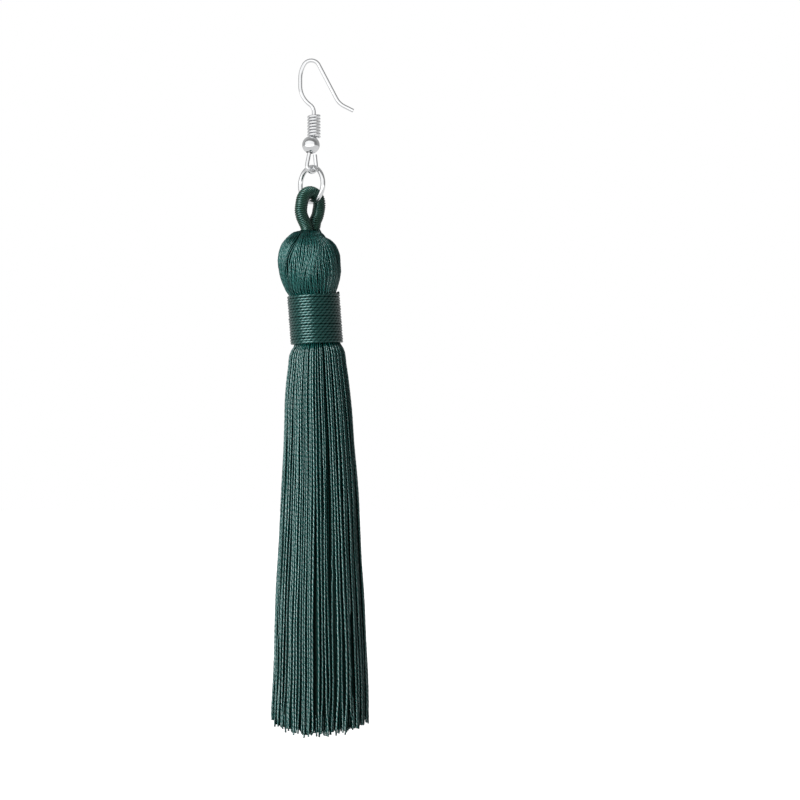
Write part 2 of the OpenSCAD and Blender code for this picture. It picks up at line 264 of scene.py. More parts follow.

# The dark core, a nearly black sheet of painted shade under the threads: how far it lies inside the
# head and the skirt, the stage of the head where it starts, how much higher it ends at its edge
# than at its middle, and the points of its rings
HEAD_INSET = 0.45 * MM
SKIRT_INSET = 0.9 * MM
CORE_START = 2.6
CORE_DOME = 2.2 * MM
CORE_POINTS = 96
CORE_RINGS = 60

# Kinds of thread: the settings and the field that hold its colour, the share of that colour that it
# has, the roughness, how much the fibres vary the colour, and the index of its gloss, if it has one
THREAD_KINDS = {
    "Tassel Thread": ("earring_threads", "colour", 1.0, 0.3, 0.9, 1.95),
    # A brighter copy of the tassel thread for the head: painted light
    "Head Thread": ("earring_threads", "colour", 1.3, 0.35, 0.9, 1.7),
    # A darker, dull copy of the tassel thread for the under layer: painted shade
    "Shaded Thread": ("earring_threads", "colour", 0.6, 0.7, 0.9),
    "Wound Thread": ("earring_windings", "colour", 1.0, 0.22, 0.6, 1.45),
    "Loop Thread": ("earring_windings", "loop_colour", 1.0, 0.3, 0.6, 1.4),
}

# Lights: the place, the width and the height, the power in watts, what the light falls on, and
# whether it shows in reflections
LIGHTS = {
    "left_softbox": ((-0.56, -0.62, 0.12), (0.7, 1.6), 33.0, "threads", True),
    "right_fill": ((0.9, -0.5, 0.2), (0.4, 0.9), 0.8, "threads", False),
    "back_fill": ((0.1, 1.0, 0.3), (1.0, 1.0), 20.0, "threads", False),
    "wire_panel": ((-0.2, -0.7, -0.05), (3.0, 1.8), 13.7, "wire", True),
}
LIGHTS_AIM = Vector((0, 0, -0.06))
# Strength of the room in front and behind, and the shares of it on the right and on dull surfaces
ROOM_FRONT = 0.3
ROOM_BACK = 0.48
ROOM_RIGHT = 0.75
ROOM_DULL = 0.6
# Half the width of the floor, its own glow, and how much more of it the camera sees
FLOOR_REACH = 6.0
FLOOR_GLOW = 0.5
FLOOR_SEEN = 0.5
# Where the camera stands, to the right and up
CAMERA_AT = np.array([15.7, -59.75]) * MM


# Settings

class ThreadSettings(bpy.types.PropertyGroup):
    width: FloatProperty(
        name="Thread width", description="Width of one twisted thread",
        default=0.32 * MM, min=0.25 * MM, max=0.8 * MM, subtype="DISTANCE")
    twist: FloatProperty(
        name="Twist", description="Length in which the two plies of a thread turn once",
        default=1.7 * MM, min=0.8 * MM, max=4 * MM, subtype="DISTANCE")
    ply: FloatProperty(
        name="Ply depth", description="How far the furrows between the plies reach in",
        default=0.1, min=0.0, max=0.4, subtype="FACTOR")
    skirt_count: IntProperty(
        name="Skirt threads", description="Threads round the outside of the skirt",
        default=150, min=80, max=200)
    head_count: IntProperty(
        name="Head threads", description="Threads round the head",
        default=112, min=40, max=140)
    end_count: IntProperty(
        name="Cut ends", description="Threads that fill the skirt at its cut end",
        default=760, min=200, max=1000)
    ragged: FloatProperty(
        name="Ragged", description="How much the cut ends differ in length",
        default=0.8 * MM, min=0.0, max=1.5 * MM, subtype="DISTANCE")
    colour: FloatVectorProperty(
        name="Tassel colour", description="Colour of the tassel's threads",
        default=(0.001, 0.038, 0.0335), min=0.0, max=1.0, subtype="COLOR")


class WindingSettings(bpy.types.PropertyGroup):
    wrap_turns: IntProperty(
        name="Binding turns", description="Turns of thread round the neck",
        default=18, min=12, max=24)
    loop_turns: IntProperty(
        name="Loop turns", description="Turns of thread round the cord loop",
        default=60, min=30, max=80)
    colour: FloatVectorProperty(
        name="Binding colour", description="Colour of the thread wound on the neck",
        default=(0.005, 0.024, 0.021), min=0.0, max=1.0, subtype="COLOR")
    loop_colour: FloatVectorProperty(
        name="Loop colour", description="Colour of the thread wound on the cord loop",
        default=(0.010, 0.028, 0.0175), min=0.0, max=1.0, subtype="COLOR")


class WireSettings(bpy.types.PropertyGroup):
    colour: FloatVectorProperty(
        name="Wire colour", description="Colour of the silver plating",
        default=(0.88, 0.89, 0.90), min=0.0, max=1.0, subtype="COLOR")
    roughness: FloatProperty(
        name="Wire roughness", description="Roughness of the plating",
        default=0.09, min=0.0, max=0.5, subtype="FACTOR")


class StageSettings(bpy.types.PropertyGroup):
    distance: FloatProperty(
        name="Camera distance", description="Distance of the camera from the earring",
        default=0.35, min=0.2, max=2.0, subtype="DISTANCE")
    view_width: FloatProperty(
        name="View width", description="Width that the picture takes in at the earring",
        default=141.6 * MM, min=0.05, max=0.5, subtype="DISTANCE")
    floor_drop: FloatProperty(
        name="Floor drop", description="Height that the earring's end hangs above the floor",
        default=0.3, min=0.01, max=1.0, subtype="DISTANCE")
    floor_colour: FloatVectorProperty(
        name="Floor colour", description="Colour of the floor",
        default=(0.9, 0.9, 0.9), min=0.0, max=1.0, subtype="COLOR")


GROUPS = {
    "earring_threads": ThreadSettings,
    "earring_windings": WindingSettings,
    "earring_wire": WireSettings,
    "earring_stage": StageSettings,
}


# Curves and forms

def smooth(at, xs, ys):
    """Cubic curve through the points (xs, ys), whose slope at a point is that between its two
    neighbours, read at the values at."""
    slopes = np.gradient(ys, xs)
    i = np.clip(np.searchsorted(xs, at) - 1, 0, len(xs) - 2)
    gap = xs[i + 1] - xs[i]
    t = np.clip((at - xs[i]) / gap, 0, 1)
    return (ys[i] * (1 + 2 * t) * (1 - t) ** 2 + ys[i + 1] * t * t * (3 - 2 * t)
            + gap * (slopes[i] * t * (1 - t) ** 2 - slopes[i + 1] * t * t * (1 - t)))


def ease(x):
    """Nought up to nought, one from one on, and 3 x x - 2 x x x in between."""
    x = np.clip(x, 0, 1)
    return x * x * (3 - 2 * x)


def unit(vectors):
    """Each vector divided by its own length."""
    return vectors / np.linalg.norm(vectors, axis=-1, keepdims=True)


def off_partings(bearing, drop):
    """Degrees from each parting, with the parting's line going straight from its bearing at the
    rim to its bearing at the neck as drop goes from nought to one."""
    rim, neck, depth = PARTINGS.T
    line = rim + (neck - rim) * drop[..., None]
    return (np.degrees(bearing)[..., None] - line + 540) % 360 - 180, depth


def with_partings(bearing, drop):
    """Bearing of a thread that keeps its place between two partings: half way down it has the
    given bearing, and it shifts from there as the partings on either side of it do."""
    rim, neck, _ = PARTINGS.T
    shift = np.interp(np.degrees(bearing) % 360, (rim + neck) / 2, neck - rim, period=360)
    return bearing + np.radians(shift) * (drop - 0.5)


def mouth_reach(bearing):
    """Distance from the middle of the mouth to its wall: two circles side by side along the
    eye's plane, joined by straight sides."""
    a = bearing - EYE_YAW
    flat = MOUTH_R / np.maximum(abs(np.sin(a)), 1e-6)
    round_end = (MOUTH_SIDE * abs(np.cos(a))
                 + np.sqrt(np.maximum(0, MOUTH_R ** 2 - (MOUTH_SIDE * np.sin(a)) ** 2)))
    return np.where(flat * abs(np.cos(a)) <= MOUTH_SIDE, flat, round_end)


def head_form(bearing, stage):
    """Point of the head at a bearing and a stage, which counts the rows of HEAD. Each section is
    a circle round the stage's own middle, tilted with the neck in step with the cube of its
    drop. A parting takes PARTING depth exp(-(off / width) squared) sin(pi drop^0.6) from the
    radius."""
    rows = np.arange(len(HEAD))
    drop, radius, step, mouth = (smooth(stage, rows, column) for column in HEAD.T)
    mouth = np.clip(mouth, 0, 1)
    fall = np.clip(drop, 0, 1)
    off, depth = off_partings(bearing, fall)
    parted = (depth * np.exp(-(off / PART_WIDTH) ** 2)).max(-1)
    radius = (radius * HEAD_R - PARTING * parted * np.sin(math.pi * fall ** 0.6)) * (1 - mouth)
    radius = radius + mouth_reach(bearing) * mouth
    low = np.clip(drop, 0, 1.2) ** 3
    x = (HANG[0] + step * HEAD_R + NECK_SIDE * low) * (1 - mouth) + LOOP_AT[0] * mouth
    y = HANG[1] * (1 - mouth) + LOOP_AT[1] * mouth
    tilt = math.tan(NECK_LEAN) * np.minimum(low, 1)
    return np.stack([
        x + radius * np.cos(bearing),
        y + radius * np.sin(bearing),
        RIM_Z - drop * HEAD_H + tilt * radius * np.cos(bearing)], -1)


def skirt_bearing(turn):
    """Bearing of a point that lies a share of a turn round the skirt, shifted a little by sines
    so that the locks differ in width."""
    a = TURN * turn
    return a + np.radians(4 * np.sin(2 * a + math.radians(50)) + 1.5 * np.sin(5 * a))


def skirt_form(turn, drop):
    """Point of the skirt at a share of a turn and a drop. Each section is a circle less LAY times
    FURROW times the drop times 1 - root(1 - (2 across - 1) squared), where across goes from
    nought to one over a lock. It is level but for the lean that it takes on near the neck."""
    radius = SKIRT_R * smooth(drop, SKIRT[:, 0], SKIRT[:, 1])
    step = SKIRT_R * smooth(drop, SKIRT[:, 0], SKIRT[:, 2])
    across = turn * LOCKS % 1
    lock = np.sqrt(np.maximum(0, 1 - (2 * across - 1) ** 2))
    radius = radius - LAY * FURROW * np.clip(drop, 0, 1) * (1 - lock)
    bearing = skirt_bearing(turn)
    above = np.minimum(drop, 0) * SKIRT_H
    tilt = math.tan(NECK_LEAN) * np.clip(1 - drop, 0, 1) ** 8
    return np.stack([
        NECK_LOW[0] + step + above * math.tan(NECK_LEAN) + radius * np.cos(bearing),
        HANG[1] + radius * np.sin(bearing),
        NECK_LOW[1] - drop * SKIRT_H + tilt * radius * np.cos(bearing)], -1)


def outward(form, across, along, step_across, step_along):
    """Direction square to a form: the cross product of its two slopes, each taken as the
    difference between two near points."""
    slope_across = form(across + step_across, along) - form(across - step_across, along)
    slope_along = form(across, along + step_along) - form(across, along - step_along)
    return unit(np.cross(slope_along, slope_across))


def distances(points):
    """Length along a line of points, from nought at the first."""
    return np.concatenate([[0], np.cumsum(np.linalg.norm(np.diff(points, axis=0), axis=1))])


def run_along(paths):
    """Length along each path, where each point adds the mean of the steps before and after it."""
    return np.cumsum(np.linalg.norm(np.gradient(paths, axis=-2), axis=-1), axis=-1)


def even_steps(form, low, high, length):
    """Values from low to high at which the form's points lie about length apart."""
    fine = np.linspace(low, high, 2000)
    run = distances(form(np.full_like(fine, 0.25), fine))
    return np.interp(np.linspace(0, run[-1], max(2, round(run[-1] / length))), run, fine)


def averaged(values, count):
    """Each value replaced by the mean of the count values round it. The two end values go on
    beyond the ends."""
    return np.convolve(np.pad(values, count // 2, "edge"), np.ones(count) / count, "valid")


def wander(rng, count, run, size, waves):
    """A slow sway for each thread: a sum of sines of the run, one for each of the waves, with
    random phases. They have equal sizes, which add up to size."""
    total = np.zeros((count, run.shape[-1]))
    for wave in waves:
        phase = rng.uniform(0, TURN, (count, 1))
        total += size / len(waves) * np.sin(TURN * wave * run + phase)
    return total


def sweep(paths, out, radius, sides, twist=0.0, ply=0.0):
    """Tubes along paths. A point of a tube is the path's point plus radius (1 + ply cos 2a) times
    (cos(a + twist) out + sin(a + twist) side), for a once round, with side square to both."""
    along = unit(np.gradient(paths, axis=1))
    out = unit(out - (out * along).sum(-1, keepdims=True) * along)
    side = np.cross(along, out)
    a = TURN * np.arange(sides) / sides
    turned = np.broadcast_to(twist, paths.shape[:2])[..., None] + a
    reach = np.broadcast_to(radius, paths.shape[:2])[..., None] * (1 + ply * np.cos(2 * a))
    return (paths[:, :, None]
            + (reach * np.cos(turned))[..., None] * out[:, :, None]
            + (reach * np.sin(turned))[..., None] * side[:, :, None])


def tube_quads(tubes, steps, sides):
    """Faces of tubes whose points are numbered tube by tube, step by step, side by side, with
    the ends closed by strips. Also gives the step and the side of each face's corners."""
    j, i = np.meshgrid(np.arange(steps - 1), np.arange(sides), indexing="ij")
    j, i = j.ravel(), i.ravel()
    step = np.stack([j, j, j + 1, j + 1], 1)
    side = np.stack([i, i + 1, i + 1, i], 1)
    k = np.arange(sides // 2 - 1)
    strip = np.stack([k, k + 1, sides - 2 - k, sides - 1 - k], 1)
    step = np.concatenate([step, np.zeros_like(strip), np.full_like(strip, steps - 1)])
    side = np.concatenate([side, strip[:, ::-1], strip])
    quads = step * sides + side % sides
    first = np.arange(tubes)[:, None, None] * steps * sides
    return (quads + first).reshape(-1, 4), np.tile(step, (tubes, 1)), np.tile(side, (tubes, 1))


def mesh_piece(name, points, faces, body, uv=None, shade=None):
    """A smooth mesh object of points and a list of faces, riding on a body. uv has a pair for
    each corner of each face, and shade a number for each point, which scales a thread's colour and
    gloss: its own tone and, in places, painted shade."""
    mesh = bpy.data.meshes.new(name)
    mesh.from_pydata(points.reshape(-1, 3).astype(np.float32), [], faces)
    if uv is not None:
        layer = mesh.uv_layers.new(name="Along")
        layer.data.foreach_set("uv", uv.astype(np.float32).ravel())
    if shade is not None:
        tint = mesh.attributes.new("shade", "FLOAT", "POINT")
        tint.data.foreach_set("value", shade.astype(np.float32).ravel())
    mesh.shade_smooth()
    mesh.update()
    piece = bpy.data.objects.new(name, mesh)
    bpy.context.scene.collection.objects.link(piece)
    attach(piece, body)
    return piece


def tubes_piece(name, points, body, length, shade=1.0):
    """A mesh object of tubes. Its UV map runs along a tube in millimetres and once round it. shade
    is one number, or one for each tube, or one for each step of each tube."""
    tubes, steps, sides = points.shape[:3]
    faces, step, side = tube_quads(tubes, steps, sides)
    uv = np.stack([step * length / MM / (steps - 1), side / sides], -1)
    tint = np.repeat(np.broadcast_to(np.reshape(shade, (tubes, -1)), (tubes, steps)), sides)
    return mesh_piece(name, points, faces.tolist(), body, uv, tint)


def skin_piece(name, rings, body):
    """A closed mesh object over rings of points that run clockwise as seen looking along, with a
    middle point at either end."""
    count, around = rings.shape[:2]
    j, i = np.meshgrid(np.arange(count - 1) * around, np.arange(around), indexing="ij")
    j, i, k = j.ravel(), i.ravel(), (i.ravel() + 1) % around
    quads = np.stack([j + i, j + around + i, j + around + k, j + k], 1)
    first, last = count * around, count * around + 1
    i = np.arange(around)
    k = (i + 1) % around
    end = (count - 1) * around
    caps = np.concatenate([
        np.stack([np.full(around, first), i, k], 1),
        np.stack([np.full(around, last), end + k, end + i], 1)])
    points = np.concatenate([rings.reshape(-1, 3), [rings[0].mean(0), rings[-1].mean(0)]])
    return mesh_piece(name, points, quads.tolist() + caps.tolist(), body)


# Finishes

def feed(tree, node, inputs):
    """Link a node's inputs to the sockets given for them, or set them to the values."""
    for name, value in inputs.items():
        if isinstance(value, bpy.types.NodeSocket):
            tree.links.new(value, node.inputs[name])
        else:
            node.inputs[name].default_value = value


def add_node(tree, kind, inputs=None, **settings):
    """A shader node with its settings and its inputs."""
    node = tree.nodes.new(kind)
    for name, value in settings.items():
        setattr(node, name, value)
    feed(tree, node, inputs or {})
    return node


def maths(tree, operation, *values):
    """The result of a maths node."""
    node = add_node(tree, "ShaderNodeMath", dict(enumerate(values)), operation=operation)
    return node.outputs[0]


def ramp(tree, value, source, target, course="LINEAR"):
    """The result of a node that takes one range of values to another."""
    node = add_node(tree, "ShaderNodeMapRange", {
        "Value": value, "From Min": source[0], "From Max": source[1],
        "To Min": target[0], "To Max": target[1]}, interpolation_type=course)
    return node.outputs["Result"]


def new_group(name, inputs, outputs):
    """An empty shader node group with named inputs and outputs, and its two end nodes."""
    group = bpy.data.node_groups.new(name, "ShaderNodeTree")
    for way, sockets in (("INPUT", inputs), ("OUTPUT", outputs)):
        for label, kind in sockets.items():
            group.interface.new_socket(name=label, in_out=way, socket_type=kind)
    return group, group.nodes.new("NodeGroupInput"), group.nodes.new("NodeGroupOutput")


def new_material(name):
    """A material, its shader tree and its main shader."""
    material = bpy.data.materials.new(name)
    material.use_nodes = True
    return material, material.node_tree, material.node_tree.nodes["Principled BSDF"]


def fibre_group():
    """Fibres of a spun thread: streaks that run along the thread, worked out from its own UV map,
    which darken the colour, roughen it and give a height, painted shade in the furrows between its
    two plies, which are darker and have little gloss, and the thread's shade attribute, its own
    tone with painted shade in places, which scales its colour and gloss."""
    if "Spun Fibres" in bpy.data.node_groups:
        return bpy.data.node_groups["Spun Fibres"]
    colour, number = "NodeSocketColor", "NodeSocketFloat"
    group, given, result = new_group(
        "Spun Fibres",
        {"Colour": colour, "Roughness": number, "Variation": number, "Furrow": number},
        {"Colour": colour, "Roughness": number, "Gloss": number, "Height": number})
    place = add_node(group, "ShaderNodeUVMap", uv_map="Along").outputs[0]
    stretched = add_node(group, "ShaderNodeVectorMath", {0: place, 1: (1.1, 16.0, 1.0)},
                         operation="MULTIPLY")
    streaks = add_node(group, "ShaderNodeTexNoise", {
        "Vector": stretched.outputs[0], "Scale": 1.0, "Detail": 3.0,
        "Roughness": 0.6}).outputs["Fac"]
    shade = add_node(group, "ShaderNodeAttribute", attribute_name="shade").outputs["Fac"]
    around = add_node(group, "ShaderNodeSeparateXYZ", {"Vector": place}).outputs["Y"]
    wave = maths(group, "COSINE", maths(group, "MULTIPLY", around, TURN))
    ridge = maths(group, "ABSOLUTE", wave)

    spread = maths(group, "SUBTRACT", streaks, 0.5)
    amount = maths(group, "MULTIPLY_ADD", spread, given.outputs["Variation"], 1.0)
    # Painted shade: in the furrows between the plies the colour falls to 1 - Furrow of itself and
    # the gloss to 0.12
    depth = maths(group, "SUBTRACT", 1.0, given.outputs["Furrow"])
    light = ramp(group, ridge, (0.1, 0.8), (depth, 1.0), "SMOOTHSTEP")
    scale = maths(group, "MULTIPLY", maths(group, "MULTIPLY", amount, shade), light)
    tone = add_node(group, "ShaderNodeVectorMath", {0: given.outputs["Colour"], "Scale": scale},
                    operation="SCALE")
    gleam = ramp(group, streaks, (0.35, 0.65), (0.35, 1.0))
    crest = ramp(group, ridge, (0.2, 0.9), (0.12, 1.0), "SMOOTHSTEP")
    feed(group, result, {
        "Colour": tone.outputs[0],
        "Roughness": maths(group, "MULTIPLY_ADD", streaks, 0.18, given.outputs["Roughness"]),
        "Gloss": maths(group, "MULTIPLY", maths(group, "MULTIPLY", gleam, crest), shade),
        "Height": streaks})
    return group


def thread_finish(name, colour, roughness, variation, gloss=None):
    """Silky spun thread in one colour, whose gloss is a coat that lies on the crests of its plies.
    Thread without gloss lies deep between others: it is dull, its specular turned down as painted
    shade, and has no relief."""
    material, tree, shader = new_material(name)
    fibres = add_node(tree, "ShaderNodeGroup", {
        "Colour": (*colour, 1), "Roughness": roughness, "Variation": variation,
        "Furrow": 0.75}, node_tree=fibre_group()).outputs
    feed(tree, shader, {
        "Base Color": fibres["Colour"], "Roughness": fibres["Roughness"],
        "Specular IOR Level": 0.35 if gloss else 0.1})
    if gloss:
        relief = add_node(tree, "ShaderNodeBump", {
            "Strength": 0.35, "Distance": 0.03 * MM, "Height": fibres["Height"]})
        feed(tree, shader, {
            "Specular Tint": (0.3, 1.0, 0.95, 1), "Coat IOR": gloss, "Coat Roughness": 0.15,
            "Coat Weight": fibres["Gloss"], "Normal": relief.outputs["Normal"]})
    return material


def core_finish(name):
    """Painted shade for the inside of the tassel: nearly black green, with no shine."""
    material, tree, shader = new_material(name)
    place = add_node(tree, "ShaderNodeTexCoord").outputs["Object"]
    fluff = add_node(tree, "ShaderNodeTexNoise", {"Vector": place, "Scale": 3000.0})
    tone = add_node(tree, "ShaderNodeMix", {
        "Factor": fluff.outputs["Fac"], "A": (0.001, 0.004, 0.003, 1),
        "B": (0.006, 0.018, 0.015, 1)}, data_type="RGBA")
    feed(tree, shader, {
        "Base Color": tone.outputs["Result"], "Roughness": 1.0, "Specular IOR Level": 0.1})
    return material


def silver_finish(name, wire):
    """Bright plating on drawn wire, with faint soft patches of wear."""
    material, tree, shader = new_material(name)
    place = add_node(tree, "ShaderNodeTexCoord").outputs["Object"]
    patches = add_node(tree, "ShaderNodeTexNoise", {
        "Vector": place, "Scale": 900.0, "Detail": 4.0}).outputs["Fac"]
    rough = ramp(tree, patches, (0, 1), (wire.roughness * 0.6, wire.roughness * 1.6))
    dull = ramp(tree, patches, (0.3, 0.7), (0.9, 1.0))
    colour = add_node(tree, "ShaderNodeVectorMath", {0: tuple(wire.colour), "Scale": dull},
                      operation="SCALE")
    relief = add_node(tree, "ShaderNodeBump", {
        "Strength": 0.08, "Distance": 0.02 * MM, "Height": patches})
    feed(tree, shader, {
        "Metallic": 1.0, "Base Color": colour.outputs[0], "Roughness": rough,
        "Normal": relief.outputs["Normal"]})
    return material


def shared(name, make, *given):
    """The material of that name, made the first time that it is asked for."""
    return bpy.data.materials.get(name) or make(name, *given)


def thread(context, kind):
    """The material of a kind of thread."""
    group, field, share, *finish = THREAD_KINDS[kind]
    colour = share * np.array(getattr(getattr(context.scene, group), field))
    return shared(kind, thread_finish, colour, *finish)


def silver(context):
    """The material of the plated wire."""
    return shared("Silver Plating", silver_finish, context.scene.earring_wire)


# Operators

class EARRING_OT_wire(bpy.types.Operator):
    """Give the ear wire, the ball and the jump ring their bright plating"""
    bl_idname = "earring.wire"
    bl_label = "Plate Wire"

    def execute(self, context):
        for name in ("ear_hook", "hook_ball", "jump_ring"):
            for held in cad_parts[name].material_slots:
                held.material = silver(context)
        return {"FINISHED"}


class EARRING_OT_coil(bpy.types.Operator):
    """Wind the coil of thin round wire on the stem"""
    bl_idname = "earring.coil"
    bl_label = "Wind Coil"

    def execute(self, context):
        a = np.linspace(0, TURN * COIL_TURNS, COIL_STEPS * COIL_TURNS)
        out = np.stack([np.cos(a), np.sin(a), np.zeros_like(a)], 1)
        middle = np.array([STEM_X, 0, COIL_LOW + COIL_WIRE / 2])
        path = middle + COIL_R * out + np.outer(COIL_RISE * a / TURN, [0, 0, 1])
        points = sweep(path[None], out[None], COIL_WIRE / 2, COIL_SIDES)
        coil = tubes_piece("wire_coil", points, "hook", TURN * COIL_R * COIL_TURNS)
        coil.data.materials.append(silver(context))
        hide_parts("hook_coil")
        return {"FINISHED"}


def cord_side(side):
    """Points of one side of the loop, from the end of its round to its root, with the loop's own
    line upright, and the length of its root. Its lean grows evenly over a bend and is summed
    along it. The two last straight lengths are what the bends leave of the way in and down.
    side is one for the right and minus one for the left."""
    way_in = LOOP_R - ROOT_SIDE * math.cos(LOOP_LEAN) - side * ROOT_DROP * math.sin(LOOP_LEAN)
    way_down = ROOT_DROP * math.cos(LOOP_LEAN) - side * ROOT_SIDE * math.sin(LOOP_LEAN) - SIDE_FALL
    end = ROOT_LEAN - side * LOOP_LEAN
    lean = math.atan(way_in / way_down) + SIDE_BOW
    left_in = way_in - SIDE_R * (1 - math.cos(lean)) - BACK_R * (math.cos(end) - math.cos(lean))
    left_down = way_down - SIDE_R * math.sin(lean) - BACK_R * (math.sin(lean) - math.sin(end))
    straight = (left_in * math.cos(end) - left_down * math.sin(end)) / math.sin(lean - end)
    root = (left_down * math.sin(lean) - left_in * math.cos(lean)) / math.sin(lean - end)
    ends = np.cumsum([0, SIDE_FALL, SIDE_R * lean, straight, BACK_R * (lean - end), root])
    run = np.linspace(0, ends[-1], 200)
    leans = np.interp(run, ends, [0, 0, lean, lean, end, end])
    inwards, down = np.cumsum([np.sin(leans), np.cos(leans)], axis=1) * run[1]
    return np.stack([side * (LOOP_R - inwards), -down], 1), root


def wound_piece(name, path, out, radius, ply, twist):
    """A thread wound along a path, whose plies turn once in the length twist."""
    spun = run_along(path)
    points = sweep(path[None], out[None], radius, THREAD_SIDES, -TURN * spun / twist, ply)
    return tubes_piece(name, points, "drop", spun[-1])


class EARRING_OT_loop(bpy.types.Operator):
    """Wind thread round the cord of the loop"""
    bl_idname = "earring.loop"
    bl_label = "Wind Loop"

    def execute(self, context):
        threads = context.scene.earring_threads
        turns = context.scene.earring_windings.loop_turns
        right, right_root = cord_side(1)
        left, left_root = cord_side(-1)
        arch = np.linspace(0, math.pi, 60)[1:-1]
        half = LOOP_R * np.stack([np.cos(arch), np.sin(arch)], 1)
        flat = np.concatenate([right[::-1], half, left])
        flat = flat @ [[math.cos(LOOP_LEAN), -math.sin(LOOP_LEAN)],
                       [math.sin(LOOP_LEAN), math.cos(LOOP_LEAN)]]
        gone = distances(flat)
        length = gone[-1]
        width = length / turns * LOOP_PRESS

        steps = turns * LOOP_STEPS
        at = np.linspace(LOOP_END * width, length - LOOP_END * width, steps)
        x, z = (averaged(np.interp(at, gone, line), LOOP_BLUR)[:, None] for line in flat.T)
        cord = x * [*YAW, 0] + z * [0, 0, 1] + [*LOOP_AT, LOOP_Z]
        level = np.broadcast_to([-YAW[1], YAW[0], 0.0], cord.shape)
        across = np.cross(unit(np.gradient(cord, axis=0)), level)
        grown = ease(np.minimum(at / right_root, (length - at) / left_root))
        thick = ROOT_CORD / 2 + (LOOP_CORD - ROOT_CORD) / 2 * grown
        a = np.linspace(0, TURN * turns, steps)[:, None]
        out = np.cos(a) * level + np.sin(a) * across
        path = cord + (thick - width / 2 + LOOP_SWELL)[:, None] * out
        winding = wound_piece("loop_winding", path, out, width / 2, threads.ply * LOOP_PLY,
                              threads.twist)
        winding.data.materials.append(thread(context, "Loop Thread"))
        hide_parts("thread_loop")

        cord, level, thick = (line[None, ::INNER_STEP] for line in (cord, level, thick))
        points = sweep(cord, level, thick - width * INNER_DEPTH, INNER_SIDES)
        # Painted shade: the cord shows through the winding darker than the thread wound on it
        core = tubes_piece("loop_core", points, "drop", length, INNER_SHADE)
        core.data.materials.append(thread(context, "Loop Thread"))
        return {"FINISHED"}


def lay_threads(rng, form, across, along, sink, radius, threads):
    """Paths under a form: a thread's middle lies its own radius and its sink below the form's
    point. Gives the tubes round the paths, each twisted a little more or less than the others, and
    their mean length."""
    points = form(across, along)
    step = (along[..., -1:] - along[..., :1]) * 1e-3
    out = outward(form, across, along, 1e-3, step)
    paths = points - (radius + sink)[..., None] * out
    runs = run_along(paths)
    count = len(paths)
    pitch = threads.twist * rng.uniform(*TWISTS, (count, 1))
    twist = rng.uniform(0, TURN, (count, 1)) - TURN * runs / pitch
    return sweep(paths, out, radius, THREAD_SIDES, twist, threads.ply), runs[:, -1].mean()


def room_sink(around, width):
    """How far every other thread sinks between its neighbours: six tenths of the root of width
    squared less the distance between neighbours squared, where that distance is the less."""
    sink = 0.6 * np.sqrt(np.maximum(0, width ** 2 - around ** 2))
    sink[::2] = 0
    return sink


class EARRING_OT_head(bpy.types.Operator):
    """Lay the threads of the head from its mouth over the round to the neck"""
    bl_idname = "earring.head"
    bl_label = "Lay Head Threads"

    def execute(self, context):
        threads = context.scene.earring_threads
        rng = np.random.default_rng(7)
        count = threads.head_count
        rows = np.arange(len(HEAD))
        stage = even_steps(head_form, 0, rows[-1], threads.twist / TWIST_STEPS)
        run = np.linspace(0, 1, len(stage))
        drop = np.clip(smooth(stage, rows, HEAD[:, 0]), 0, 1)
        along = np.broadcast_to(stage, (count, len(stage)))

        bearing = TURN * np.arange(count)[:, None] / count
        bearing = bearing + HEAD_SWAY * np.sin(5 * bearing + 7 * run) * np.sin(math.pi * run)
        bearing = bearing + wander(rng, count, run, *HEAD_WANDER)
        bearing = with_partings(bearing, drop)
        off, depth = off_partings(bearing, np.broadcast_to(drop, bearing.shape))
        push = (PART_PUSH * depth * off * np.exp(-(off / PART_WIDTH) ** 2)).sum(-1)
        bearing = bearing + np.radians(push)

        reach = np.hypot(*(head_form(bearing, along)[..., :2] - HANG).transpose(2, 0, 1))
        full = GATHERED + (1 - GATHERED) * ease(reach / (GATHERED_TO * HEAD_R))
        sink = room_sink(TURN * reach / count, threads.width * full)
        sink = sink + wander(rng, count, run, *HEAD_RISE) + HEAD_DEPTH
        # The sink starts below the mouth, where the threads turn outwards
        sink = sink * ease((along - 0.8) / 1.5)
        points, length = lay_threads(
            rng, head_form, bearing, along, sink, threads.width / 2 * full, threads)

        # Painted shade: threads along a parting and near the mouth get a darker colour and less
        # gloss
        near = (depth * np.exp(-(off / PART_SHADOW) ** 2)).max(-1).mean(-1)
        shade = np.outer(rng.uniform(*HEAD_SHADES, count) * (1 - PART_SHADE * near),
                         MOUTH_SHADE + (1 - MOUTH_SHADE) * ease(drop * MOUTH_FADE))
        piece = tubes_piece("head_threads", points, "drop", length, shade)
        piece.data.materials.append(thread(context, "Head Thread"))
        return {"FINISHED"}


